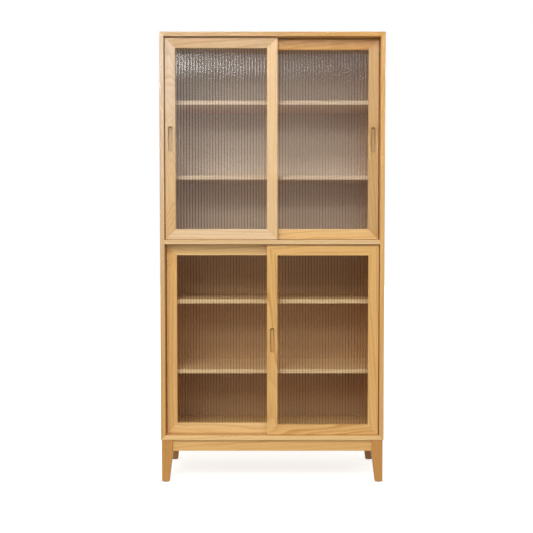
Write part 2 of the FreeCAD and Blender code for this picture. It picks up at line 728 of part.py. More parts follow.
def build_door(tier, side):
    """One sliding door: frame, keys, glass, beads, runners and guides."""
    door = f"{tier}_{side}_door"
    sill = sills[tier]
    head = heads[tier]
    left_x = door_left_x[side]
    right_x = f"({left_x} + {door_width})"
    track_y = track_rows[door_row[tier, side]]
    front = f"({track_y} - dim.door_thickness / 2)"
    low_z = f"({sill} + dim.door_sill_gap)"
    high_z = f"({head} - dim.door_head_gap)"
    height = f"({high_z} - {low_z})"

    keys = []
    key_x = {"left": f"{left_x} + dim.key_inset", "right": f"{right_x} - dim.key_inset"}
    key_y = f"{track_y} - dim.key_thickness / 2"
    key_z = {"low": f"{low_z} + dim.key_inset", "high": f"{high_z} - dim.key_inset"}
    for x_name, x in key_x.items():
        for z_name, z in key_z.items():
            name = f"{door}_{z_name}_{x_name}_key"
            key = primitive("Prism", name, Circumradius="dim.key_reach", Height="dim.key_thickness")
            key.Polygon = 4
            keys.append(place(key, x, key_y, z, axis=(1, 0, 0), angle=-90))
    key_group = node(group(f"{door}_corner_keys", keys))

    runner_foot = f"({sill} - dim.sill_track_depth + dim.track_floor + dim.running_gap)"
    runner_height = f"({low_z} + dim.runner_embed - {runner_foot})"
    guide_foot = f"({high_z} - dim.runner_embed)"
    guide_height = "(dim.runner_embed + dim.door_head_gap + dim.guide_engagement)"
    sliders = []
    slider_x = {"left": f"{left_x} + dim.runner_inset", "right": f"{right_x} - dim.runner_inset"}
    for x_name, x in slider_x.items():
        sliders.append(slider(f"{door}_{x_name}_runner", runner_height, x, track_y, runner_foot))
        sliders.append(slider(f"{door}_{x_name}_guide", guide_height, x, track_y, guide_foot))
    slider_group = node(group(f"{door}_sliders", sliders))

    members = {
        "left_stile": (height, left_x, low_z, UP),
        "right_stile": (height, right_x, high_z, DOWN),
        "top_rail": (door_width, left_x, high_z, RIGHT),
        "bottom_rail": (door_width, right_x, low_z, LEFT),
    }
    frame_sizes = (
        "dim.frame_width",
        "dim.door_thickness",
        "dim.glass_rebate",
        "(dim.door_thickness - dim.glass_lip)",
    )
    for member, (length, x, z, heading) in members.items():
        board = mitred_board(f"{door}_{member}_board", length, *frame_sizes)
        if member == f"{pull_stile.get((tier, side))}_stile":
            cut_pull(board, height)
        stand_member(board, x, front, z, heading)
        machined(f"{door}_{member}", board, [key_group, slider_group])

    edge = "(dim.frame_width - dim.glass_rebate)"
    glass_inset = f"({edge} + dim.glass_edge_gap)"
    glass_size = (f"({door_width} - 2 * {glass_inset})", f"({height} - 2 * {glass_inset})")
    glass = reeded_glass(f"{door}_glass", *glass_size)
    lip = f"({front} + dim.glass_lip + dim.glass_face_gap)"
    node(place(glass, f"{left_x} + {glass_inset}", lip, f"{low_z} + {glass_inset}"))

    bead_y = f"({lip} + dim.rib_depth + dim.glass_sheet + dim.glass_face_gap)"
    bead_depth = f"({front} + dim.door_thickness - {bead_y})"
    side_height = f"({height} - 2 * dim.frame_width)"
    bead_length = f"({door_width} - 2 * {edge})"
    opening_left = f"({left_x} + {edge})"
    opening_right = f"({right_x} - dim.frame_width)"
    opening_low = f"({low_z} + dim.frame_width)"
    opening_high = f"({high_z} - dim.frame_width)"
    beads = {
        "left": ("dim.glass_rebate", side_height, opening_left, opening_low),
        "right": ("dim.glass_rebate", side_height, opening_right, opening_low),
        "low": (bead_length, "dim.glass_rebate", opening_left, f"{low_z} + {edge}"),
        "high": (bead_length, "dim.glass_rebate", opening_left, opening_high),
    }
    strips = []
    for name, (length, rise, x, z) in beads.items():
        bead = primitive("Box", f"{door}_{name}_bead", Length=length, Width=bead_depth, Height=rise)
        strips.append(place(bead, x, bead_y, z))
    node(group(f"{door}_glazing_beads", strips))


for tier, side in door_row:
    build_door(tier, side)

# Bumpers: soft dots on the side panels, two where each door closes and two where it stops.
dots = []
for tier, sill in sills.items():
    head = heads[tier]
    for row, y in track_rows.items():
        dot_rows = {"low": f"{sill} + dim.bumper_inset", "high": f"{head} - dim.bumper_inset"}
        for z_name, z in dot_rows.items():
            for side, x, heading in (("left", f"-{inner_x}", RIGHT), ("right", inner_x, LEFT)):
                name = f"{tier}_{row}_{z_name}_{side}_bumper"
                sizes = {"Radius": "dim.bumper_radius", "Height": "dim.bumper_thickness"}
                dot = primitive("Cylinder", name, **sizes)
                dots.append(place(dot, x, y, z, axis=(0, 1, 0), angle=heading))
node(group("door_bumpers", dots))

# Every object has to be sound before anything is written.
document.recompute()
for thing in document.Objects:
    if "Invalid" in thing.State or "Error" in thing.State:
        raise RuntimeError(f"{thing.Label} failed: {thing.State}")
for part in NODES:
    if part.Shape.isNull() or not part.Shape.isValid() or not part.Shape.Solids:
        raise RuntimeError(f"{part.Label} has no sound solid")

os.makedirs("parts", exist_ok=True)
for part in NODES:
    part.Shape.exportStep(os.path.join("parts", f"{part.Label}.step"))
    print(part.Label, len(part.Shape.Solids), round(part.Shape.Volume))
print(len(NODES), "pieces")
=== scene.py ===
import math

import bmesh
import bpy
from mathutils import Euler, Matrix, Vector


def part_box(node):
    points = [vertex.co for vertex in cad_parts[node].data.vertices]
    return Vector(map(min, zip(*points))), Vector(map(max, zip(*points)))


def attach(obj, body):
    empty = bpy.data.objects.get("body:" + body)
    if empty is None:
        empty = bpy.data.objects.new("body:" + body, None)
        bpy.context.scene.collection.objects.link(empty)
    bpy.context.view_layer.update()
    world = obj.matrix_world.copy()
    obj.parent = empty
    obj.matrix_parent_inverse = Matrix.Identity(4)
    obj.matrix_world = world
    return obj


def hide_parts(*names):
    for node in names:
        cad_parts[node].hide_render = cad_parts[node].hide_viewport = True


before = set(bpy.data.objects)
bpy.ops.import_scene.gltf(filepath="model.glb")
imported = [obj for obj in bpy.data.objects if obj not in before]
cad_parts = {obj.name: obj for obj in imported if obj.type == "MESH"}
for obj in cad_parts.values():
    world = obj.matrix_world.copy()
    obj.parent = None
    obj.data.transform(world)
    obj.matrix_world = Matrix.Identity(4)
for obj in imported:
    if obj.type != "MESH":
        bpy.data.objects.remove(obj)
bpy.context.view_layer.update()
bpy.context.scene.view_settings.view_transform = "Standard"


# Cabinet box
# Two side panels, a top, a bottom and a middle panel: solid oak 18 mm thick, glued up from staves,
# mitred at the four outer corners, sanded, and finished with a thin satin oil. The left side and the
# top change tone along their length.

# Tones of the late wood in screen values, and the shares of their light that the early wood keeps
SAP_OAK = (223, 200, 171)
AMBER_OAK = (227, 180, 112)
BUFF_OAK = (211, 179, 135)
OCHRE_OAK = (217, 168, 95)
STRAW_OAK = (237, 203, 154)
GOLD_OAK = (247, 210, 147)
EARLY_WOOD_SHARES = (0.68, 0.54, 0.38)

# Width of a glued-up stave, and a width that no board reaches, for one sawn from a single plank
PANEL_STAVE_WIDTH = 0.095
WHOLE_BOARD = 20.0

# Satin oil, and the open pores under it
OAK_SATIN = 0.42
OAK_COAT = 0.12
OAK_COAT_ROUGHNESS = 0.35
OAK_BUMP = 0.22
OAK_PORE_DEPTH = 0.0003

# Turns, in degrees, that bring the axis of a board's grain upright
GRAIN_TURNS = {"Z": (0.0, 0.0, 0.0), "X": (0.0, -90.0, 0.0), "Y": (90.0, 0.0, 0.0)}

# Where a stave's plank came from in its log, and how the heart line wanders along it
STAVE_SHIFT = (0.05, 0.10, 3.0)
SWAY_SCALE = 9.0
SWAY_STRETCH = (1.0, 1.0, 0.22)
ACROSS_GRAIN = (1.0, 1.0, 0.0)

# A knot's reach and shape, and a place far outside the board for no knot
KNOT_REACH = 0.017
KNOT_STRETCH = (1.0, 0.4, 0.7)
NO_KNOT = (0.0, 0.0, 90.0)

# Shares of one year's ring, and the weight of the ring in the palest year
EARLY_WOOD_FULL = 0.10
EARLY_WOOD_FADES = 0.12
LATE_WOOD_STARTS = 0.85
PALEST_YEAR = 0.35

# Lumps to the metre of what runs along the grain, and how much each darkens the wood
NOISE_MIDDLE = 0.5
FIBRE_STRETCH = (1.0, 1.0, 0.02)
STREAK_SCALE = 150.0
FIBRE_SCALE = 900.0
DRIFT_SCALE = 5.0
DRIFT_STRETCH = (1.0, 1.0, 0.3)
PLAIN_SHADE = 0.26
RING_SHADE = 0.60
STREAK_SHADE = 0.70
FIBRE_SHADE = 0.55
DRIFT_SHADE = 0.60
STAVE_SHADE = 0.30
KNOT_SHADE = 0.35

# Pores, and what they and the fibres do to the surface
PORE_SCALE = 1700.0
PORE_STRETCH = (1.0, 1.0, 0.035)
PORE_STARTS = 0.58
PORE_FULL = 0.70
PORES_CROWDED = 0.7
LATE_WOOD_PORES = 0.25
PORE_SHADOW = (0.10, 0.05, 0.02, 1.0)
PORE_SHADOW_SHARE = 0.55
PORE_DARKNESS = 0.40
PORE_ROUGHNESS = 0.22
FIBRE_ROUGHNESS = 0.16
FIBRE_HEIGHT = 0.45

# A Mix node's sockets share names, so its colour sockets are taken by their places
MIX_FIRST_COLOUR = 6
MIX_SECOND_COLOUR = 7
MIX_COLOUR_RESULT = 2


def screen_colour(colour):
    """The linear colour that a socket takes, for screen values of 0 to 255, by the sRGB rule."""
    shares = [value / 255 for value in colour]
    return tuple(s / 12.92 if s <= 0.04045 else ((s + 0.055) / 1.055) ** 2.4 for s in shares) + (1.0,)


def feed(tree, value, socket):
    """Links an output to a socket, or writes a plain value on it."""
    if isinstance(value, bpy.types.NodeSocket):
        tree.links.new(value, socket)
    else:
        socket.default_value = value


def calculate(tree, operation, *values):
    """One Math node on plain values and outputs, and its result."""
    node = tree.nodes.new("ShaderNodeMath")
    node.operation = operation
    for value, socket in zip(values, node.inputs):
        feed(tree, value, socket)
    return node.outputs["Value"]


def calculate_vector(tree, operation, *values):
    """One Vector Math node on plain vectors and outputs, and its result."""
    node = tree.nodes.new("ShaderNodeVectorMath")
    node.operation = operation
    for value, socket in zip(values, node.inputs):
        feed(tree, value, socket)
    return node.outputs["Value" if operation == "LENGTH" else "Vector"]


def split_vector(tree, vector):
    """The X, Y and Z of a vector."""
    node = tree.nodes.new("ShaderNodeSeparateXYZ")
    tree.links.new(vector, node.inputs["Vector"])
    return node.outputs


def noise(tree, vector, stretch, scale, detail=2.0, output="Fac"):
    """A Noise Texture read at a stretched vector, with so many lumps to the metre."""
    node = tree.nodes.new("ShaderNodeTexNoise")
    node.inputs["Scale"].default_value = scale
    node.inputs["Detail"].default_value = detail
    tree.links.new(calculate_vector(tree, "MULTIPLY", vector, stretch), node.inputs["Vector"])
    return node.outputs[output]


def draw_lot(tree, number):
    """A value and a colour drawn for a whole number."""
    node = tree.nodes.new("ShaderNodeTexWhiteNoise")
    node.noise_dimensions = "1D"
    tree.links.new(number, node.inputs["W"])
    return node.outputs


def remap(tree, value, low, high, to_low=0.0, to_high=1.0):
    """Smoothly maps the stretch from low to high onto another stretch, and holds its ends."""
    node = tree.nodes.new("ShaderNodeMapRange")
    node.interpolation_type = "SMOOTHSTEP"
    for value_in, socket in zip((value, low, high, to_low, to_high), node.inputs):
        feed(tree, value_in, socket)
    return node.outputs["Result"]


def mix_colour(tree, share, first, second):
    """A colour between two others."""
    node = tree.nodes.new("ShaderNodeMix")
    node.data_type = "RGBA"
    feed(tree, share, node.inputs["Factor"])
    feed(tree, first, node.inputs[MIX_FIRST_COLOUR])
    feed(tree, second, node.inputs[MIX_SECOND_COLOUR])
    return node.outputs[MIX_COLOUR_RESULT]


def new_group(name, inputs, outputs):
    """An empty shader node group with named sockets, each given as (name, kind)."""
    tree = bpy.data.node_groups.new(name, "ShaderNodeTree")
    for socket, kind in inputs:
        tree.interface.new_socket(socket, in_out="INPUT", socket_type="NodeSocket" + kind)
    for socket, kind in outputs:
        tree.interface.new_socket(socket, in_out="OUTPUT", socket_type="NodeSocket" + kind)
    return tree, tree.nodes.new("NodeGroupInput").outputs, tree.nodes.new("NodeGroupOutput").inputs


def make_timber_grain():
    """Growth rings about a heart line along Z, with fibres, pores, staves and a knot, cut by the board."""
    tree, given, result = new_group(
        "timber grain",
        [("Board", "Vector"), ("Light", "Color"), ("Dark", "Color"), ("Ring Spacing", "Float"),
         ("Sway", "Float"), ("Contrast", "Float"), ("Stave Width", "Float"), ("Knot Centre", "Vector")],
        [("Color", "Color"), ("Roughness", "Float"), ("Height", "Float")])
    board = given["Board"]

    # Each stave comes from another plank, so its rings and tone start somewhere else
    stave = calculate(tree, "DIVIDE", split_vector(tree, board)["Y"], given["Stave Width"])
    stave_lot = draw_lot(tree, calculate(tree, "ROUND", stave))
    shift = calculate_vector(tree, "SUBTRACT", stave_lot["Color"], (NOISE_MIDDLE,) * 3)
    plank = calculate_vector(tree, "MULTIPLY_ADD", shift, STAVE_SHIFT, board)

    # The heart line sways, so straight rings become long arches on a flat-sawn face
    sway = noise(tree, plank, SWAY_STRETCH, SWAY_SCALE, output="Color")
    sway = calculate_vector(tree, "SUBTRACT", sway, (NOISE_MIDDLE,) * 3)
    swayed = calculate_vector(tree, "MULTIPLY_ADD", sway, given["Sway"], plank)
    around = calculate_vector(tree, "LENGTH", calculate_vector(tree, "MULTIPLY", swayed, ACROSS_GRAIN))

    # A knot lifts the rings round it
    from_knot = calculate_vector(tree, "SUBTRACT", board, given["Knot Centre"])
    from_knot = calculate_vector(tree, "LENGTH", calculate_vector(tree, "MULTIPLY", from_knot, KNOT_STRETCH))
    near_knot = calculate(tree, "POWER", calculate(tree, "DIVIDE", from_knot, KNOT_REACH), 2.0)
    near_knot = calculate(tree, "EXPONENT", calculate(tree, "MULTIPLY", near_knot, -1.0))
    lifted = calculate(tree, "MULTIPLY_ADD", near_knot, KNOT_REACH, around)
    rings = calculate(tree, "DIVIDE", lifted, given["Ring Spacing"])

    # Open early wood makes the dark side of a ring, and some years are darker than others
    growth = calculate(tree, "FRACT", rings)
    rise = remap(tree, growth, 0.0, EARLY_WOOD_FULL)
    fall = remap(tree, growth, EARLY_WOOD_FADES, LATE_WOOD_STARTS, 1.0, 0.0)
    year = draw_lot(tree, calculate(tree, "FLOOR", rings))["Value"]
    year = remap(tree, year, 0.0, 1.0, PALEST_YEAR, 1.0)
    band = calculate(tree, "MULTIPLY", calculate(tree, "MULTIPLY", rise, fall), year)

    # Fibres and wider streaks run the length of the board
    streak = noise(tree, swayed, FIBRE_STRETCH, STREAK_SCALE)
    fibre = noise(tree, swayed, FIBRE_STRETCH, FIBRE_SCALE, detail=3.0)
    drift = noise(tree, plank, DRIFT_STRETCH, DRIFT_SCALE)
    shade = calculate(tree, "MULTIPLY", band, RING_SHADE)
    for value, share in ((streak, STREAK_SHADE), (fibre, FIBRE_SHADE), (drift, DRIFT_SHADE),
                         (stave_lot["Value"], STAVE_SHADE)):
        swing = calculate(tree, "SUBTRACT", value, NOISE_MIDDLE)
        shade = calculate(tree, "MULTIPLY_ADD", swing, share, shade)
    shade = calculate(tree, "MULTIPLY_ADD", near_knot, KNOT_SHADE, shade)
    shade = calculate(tree, "MULTIPLY_ADD", shade, given["Contrast"], PLAIN_SHADE)
    wood = mix_colour(tree, shade, given["Light"], given["Dark"])

    # Pores are short dark dashes, close together in the early wood
    dash = noise(tree, swayed, PORE_STRETCH, PORE_SCALE, detail=1.0)
    crowding = remap(tree, band, 0.0, PORES_CROWDED, LATE_WOOD_PORES, 1.0)
    pore = calculate(tree, "MULTIPLY", remap(tree, dash, PORE_STARTS, PORE_FULL), crowding)
    pore_colour = mix_colour(tree, PORE_SHADOW_SHARE, given["Dark"], PORE_SHADOW)
    darkness = calculate(tree, "MULTIPLY", pore, PORE_DARKNESS)
    tree.links.new(mix_colour(tree, darkness, wood, pore_colour), result["Color"])

    rough = calculate(tree, "MULTIPLY_ADD", fibre, FIBRE_ROUGHNESS, OAK_SATIN - FIBRE_ROUGHNESS / 2)
    tree.links.new(calculate(tree, "MULTIPLY_ADD", pore, PORE_ROUGHNESS, rough), result["Roughness"])
    grooves = calculate(tree, "MULTIPLY", pore, -1.0)
    tree.links.new(calculate(tree, "MULTIPLY_ADD", fibre, FIBRE_HEIGHT, grooves), result["Height"])
    return tree


timber_grain = make_timber_grain()


def new_material(name):
    """A new material and its Principled BSDF."""
    material = bpy.data.materials.new(name)
    material.use_nodes = True
    return material, material.node_tree.nodes["Principled BSDF"]


def roughen(tree, shader, height, strength, depth):
    """Bumps a shader's surface by a height that runs from 0 to 1 over the depth given."""
    bump = tree.nodes.new("ShaderNodeBump")
    bump.inputs["Strength"].default_value = strength
    bump.inputs["Distance"].default_value = depth
    tree.links.new(height, bump.inputs["Height"])
    tree.links.new(bump.outputs["Normal"], shader.inputs["Normal"])


def corners_of(node):
    """The lowest and highest corner of a piece's box."""
    low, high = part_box(node)
    return Vector(low), Vector(high)


def dress(node, material):
    """Puts a material on a piece."""
    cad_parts[node].material_slots[0].material = material


def timber(node, along, tone, heart, spacing, lean=(0.0, 0.0), sway=0.03, contrast=0.6,
           stave=WHOLE_BOARD, knot=None, end_tone=None, wood="oak"):
    """Gives a board its own wood, with the grain along an axis.

    heart is the log's centre line as seen from the board's centre, lean its tilt in degrees and sway how
    far it wanders. spacing is the width of a year's ring, contrast how strongly the figure shows and stave
    the width of a stave. knot is how far a knot lies from the left edge and the top of the front face.
    end_tone is the tone at the foot of an upright board, or at the right end of a level one.
    """
    low, high = corners_of(node)
    material, shader = new_material(wood + " " + node.replace("_", " "))
    tree = material.node_tree
    turn = Euler([math.radians(angle) for angle in GRAIN_TURNS[along]]).to_matrix()
    turn = Euler((math.radians(lean[0]), math.radians(lean[1]), 0.0)).to_matrix() @ turn
    log_centre = (low + high) / 2 + Vector(heart)
    position = tree.nodes.new("ShaderNodeTexCoord").outputs["Object"]
    mapping = tree.nodes.new("ShaderNodeMapping")
    mapping.inputs["Rotation"].default_value = turn.to_euler()
    mapping.inputs["Location"].default_value = -(turn @ log_centre)
    tree.links.new(position, mapping.inputs["Vector"])

    late_wood = screen_colour(tone)
    early_wood = tuple(value * share for value, share in zip(late_wood, EARLY_WOOD_SHARES)) + (1.0,)
    if end_tone is not None:
        axis = "XYZ".index(along)
        near_end, far_end = (high[axis], low[axis]) if along == "Z" else (low[axis], high[axis])
        toward_end = remap(tree, split_vector(tree, position)[along], near_end, far_end)
        late_wood = mix_colour(tree, toward_end, late_wood, screen_colour(end_tone))
        early_wood = calculate_vector(tree, "MULTIPLY", late_wood, EARLY_WOOD_SHARES)
    knot_centre = NO_KNOT
    if knot is not None:
        knot_centre = turn @ (Vector((low.x + knot[0], low.y, high.z - knot[1])) - log_centre)

    grain = tree.nodes.new("ShaderNodeGroup")
    grain.node_tree = timber_grain
    values = {
        "Board": mapping.outputs["Vector"], "Light": late_wood, "Dark": early_wood, "Ring Spacing": spacing,
        "Sway": sway, "Contrast": contrast, "Stave Width": stave, "Knot Centre": knot_centre}
    for socket, value in values.items():
        feed(tree, value, grain.inputs[socket])
    tree.links.new(grain.outputs["Color"], shader.inputs["Base Color"])
    tree.links.new(grain.outputs["Roughness"], shader.inputs["Roughness"])
    shader.inputs["Coat Weight"].default_value = OAK_COAT
    shader.inputs["Coat Roughness"].default_value = OAK_COAT_ROUGHNESS
    roughen(tree, shader, grain.outputs["Height"], OAK_BUMP, OAK_PORE_DEPTH)
    dress(node, material)
    return tree, shader, position


timber("left_side_panel", "Z", SAP_OAK, heart=(0.06, -0.17, 0.0), lean=(0.6, 1.0), spacing=0.007,
       stave=PANEL_STAVE_WIDTH, end_tone=AMBER_OAK)
timber("right_side_panel", "Z", AMBER_OAK, heart=(-0.05, -0.15, 0.3), lean=(-0.8, 0.7), spacing=0.007,
       stave=PANEL_STAVE_WIDTH)
timber("top_panel", "X", BUFF_OAK, heart=(0.2, -0.16, 0.05), lean=(0.8, 0.5), spacing=0.006,
       stave=PANEL_STAVE_WIDTH, end_tone=OCHRE_OAK)
timber("middle_panel", "X", STRAW_OAK, heart=(-0.1, -0.16, 0.06), lean=(0.5, -0.6), spacing=0.006,
       stave=PANEL_STAVE_WIDTH)
timber("bottom_panel", "X", GOLD_OAK, heart=(0.1, -0.15, -0.05), lean=(-0.5, 0.8), spacing=0.006,
       stave=PANEL_STAVE_WIDTH)


# Hidden joints
# Loose splines in the mitred corners, and dowels in the middle panel and the leg frame:
# straight-grained beech, left bare and glued in, so only their ends would ever show.

BEECH = (226, 190, 148)
BEECH_STICK = {"wood": "beech", "tone": BEECH, "heart": (0.0, 0.1, 0.3), "spacing": 0.004, "contrast": 0.4}

for joint in ("carcass_splines", "dowels"):
    timber(joint, "X", **BEECH_STICK)


# Door channels
# Eight wood-coloured plastic channels, pressed into grooves in the sills and heads. Their brown is partly
# painted shade, deepened for the dark gaps above and below the doors. They are extruded, so faint die lines
# run along them.

# Both channel tones are partly painted shade, for the dark gaps at the doors
SHADED_CHANNEL_LIGHT = (208, 156, 92)
SHADED_CHANNEL_DARK = (188, 137, 76)
ALONG_CHANNEL = (0.02, 1.0, 1.0)
MARK_DETAIL = 3.0
FAINT_MARK = 0.3
STRONG_MARK = 0.7
MARK_BUMP = 0.3


def worked_surface(name, light, dark, scale, depth, roughness, spread, stretch=(1.0, 1.0, 1.0), metallic=0.0):
    """A moulded, drawn or ground surface: fine marks of one scale, stretched along the way it was worked."""
    material, shader = new_material(name)
    tree = material.node_tree
    position = tree.nodes.new("ShaderNodeTexCoord").outputs["Object"]
    marks = noise(tree, position, stretch, scale, MARK_DETAIL)
    colour = mix_colour(tree, marks, screen_colour(light), screen_colour(dark))
    tree.links.new(colour, shader.inputs["Base Color"])
    rough = remap(tree, marks, FAINT_MARK, STRONG_MARK, roughness - spread, roughness + spread)
    tree.links.new(rough, shader.inputs["Roughness"])
    shader.inputs["Metallic"].default_value = metallic
    roughen(tree, shader, marks, MARK_BUMP, depth)
    return material


extruded_channel = worked_surface("extruded channel", SHADED_CHANNEL_LIGHT, SHADED_CHANNEL_DARK, scale=900.0, depth=0.0001,
                                  roughness=0.45, spread=0.08, stretch=ALONG_CHANNEL)
dress("door_tracks", extruded_channel)


# Shelves and their pins
# Four full-width oak shelves, set back from the doors, each resting on four turned steel pins
# that push into holes in the side panels.

# The upper shelves' blush tone is partly painted reflection, for the grey haze the upper glass lays over them
BLUSH_OAK_AND_PAINTED_HAZE = (232, 204, 176)
PALE_OAK = (252, 218, 168)
STEEL_LIGHT = (206, 203, 196)
STEEL_DARK = (164, 160, 153)
SHELF_RINGS = 0.007

timber("upper_high_shelf", "X", BLUSH_OAK_AND_PAINTED_HAZE, heart=(0.1, 0.05, -0.06), lean=(0.6, 0.4), spacing=SHELF_RINGS,
       stave=PANEL_STAVE_WIDTH)
timber("upper_low_shelf", "X", BLUSH_OAK_AND_PAINTED_HAZE, heart=(-0.2, 0.04, -0.07), lean=(-0.5, 0.6), spacing=SHELF_RINGS,
       stave=PANEL_STAVE_WIDTH)
timber("lower_high_shelf", "X", PALE_OAK, heart=(0.2, 0.06, -0.05), lean=(0.7, -0.4), spacing=SHELF_RINGS,
       stave=PANEL_STAVE_WIDTH)
timber("lower_low_shelf", "X", PALE_OAK, heart=(-0.1, 0.03, -0.06), lean=(-0.6, -0.5), spacing=SHELF_RINGS,
       stave=PANEL_STAVE_WIDTH)
plated_steel = worked_surface("plated steel", STEEL_LIGHT, STEEL_DARK, scale=2600.0, depth=0.00005,
                              roughness=0.34, spread=0.08, metallic=1.0)
dress("shelf_pins", plated_steel)


# Back panels
# Two oak-veneered boards 6 mm thick, which lie in a rebate behind the box and are screwed on. The veneer
# leaves stand upright. The upper board's inner face is paler and greyer than its outer face, partly veneer
# and partly painted light, for the cool light and grey sheen on the upper back.

# The upper board's paler, greyer inner tone is partly painted light, for the cool light and grey sheen on the
# upper back
PALE_VENEER_AND_PAINTED_LIGHT = (227, 210, 190)
WARM_VENEER = (218, 183, 140)
OUTER_VENEER_WITHOUT_PAINTED_LIGHT = (0.92, 0.74, 0.51)
VENEER_LEAF_WIDTH = 0.16


def shade_where(tree, shader, mask, shade):
    """Multiplies a shader's colour by a shade where a mask is 1."""
    wood = shader.inputs["Base Color"].links[0].from_socket
    shaded = calculate_vector(tree, "MULTIPLY", wood, shade)
    tree.links.new(mix_colour(tree, mask, wood, shaded), shader.inputs["Base Color"])


def outside_without_painted_light(board, tree, shader, position):
    """Gives the rear face of a board the warm veneer's tone, without the painted light of its inner face."""
    low, high = corners_of(board)
    outside = calculate(tree, "GREATER_THAN", split_vector(tree, position)["Y"], (low.y + high.y) / 2)
    shade_where(tree, shader, outside, OUTER_VENEER_WITHOUT_PAINTED_LIGHT)


upper_back = timber("upper_back_panel", "Z", PALE_VENEER_AND_PAINTED_LIGHT, heart=(0.3, 0.09, 0.0), lean=(0.9, 0.5),
                    spacing=0.010, contrast=0.4, stave=VENEER_LEAF_WIDTH)
outside_without_painted_light("upper_back_panel", *upper_back)
timber("lower_back_panel", "Z", WARM_VENEER, heart=(-0.2, 0.08, 0.4), lean=(0.9, 0.5), spacing=0.010,
       contrast=0.5, stave=VENEER_LEAF_WIDTH)
dress("back_panel_screws", plated_steel)


# Leg frame
# Four tapered oak legs, the rear pair painted darker as shade under the box, with aprons dowelled
# between them, corner blocks glued and screwed inside, and a nylon glide under each foot. It carries
# the box as a loose stand.

TOFFEE_OAK = (209, 154, 81)
# The rear legs' darker tone is painted shade, for the shadow under the box
REAR_LEG_PAINTED_SHADE = (184, 130, 64)
HONEY_OAK = (239, 194, 123)
NYLON_LIGHT = (196, 192, 182)
NYLON_DARK = (176, 171, 160)
STAND_RINGS = 0.006
LEG_LEAN = (1.5, 1.0)
LEGS = {
    "front_left_leg": (TOFFEE_OAK, (0.05, 0.06, 0.0)),
    "front_right_leg": (TOFFEE_OAK, (-0.06, 0.05, 0.1)),
    "rear_left_leg": (REAR_LEG_PAINTED_SHADE, (0.06, -0.05, 0.2)),
    "rear_right_leg": (REAR_LEG_PAINTED_SHADE, (-0.05, -0.06, 0.3))}

for leg, (tone, heart) in LEGS.items():
    timber(leg, "Z", tone, heart, STAND_RINGS, LEG_LEAN)
timber("front_apron", "X", HONEY_OAK, heart=(0.3, 0.07, 0.05), lean=(0.8, 0.6), spacing=STAND_RINGS)
timber("rear_apron", "X", HONEY_OAK, heart=(0.1, -0.07, 0.05), lean=(0.8, -0.6), spacing=STAND_RINGS)
timber("left_apron", "Y", HONEY_OAK, heart=(0.07, 0.1, 0.05), lean=(0.5, 0.8), spacing=STAND_RINGS)
timber("right_apron", "Y", HONEY_OAK, heart=(-0.07, 0.2, 0.05), lean=(0.6, 0.8), spacing=STAND_RINGS)
timber("corner_blocks", "Z", BEECH, heart=(0.1, 0.1, 0.0), spacing=0.005, contrast=0.4, wood="beech")
moulded_nylon = worked_surface("moulded nylon", NYLON_LIGHT, NYLON_DARK, scale=1400.0, depth=0.00008,
                               roughness=0.48, spread=0.06)
dress("base_screws", plated_steel)
dress("floor_glides", moulded_nylon)


# Door frames
# Each sliding door is a mitred oak frame of two stiles and two rails with keys in its corners.
# Beads behind hold the pane in its rebate, and a finger pull is routed into one stile of three doors.

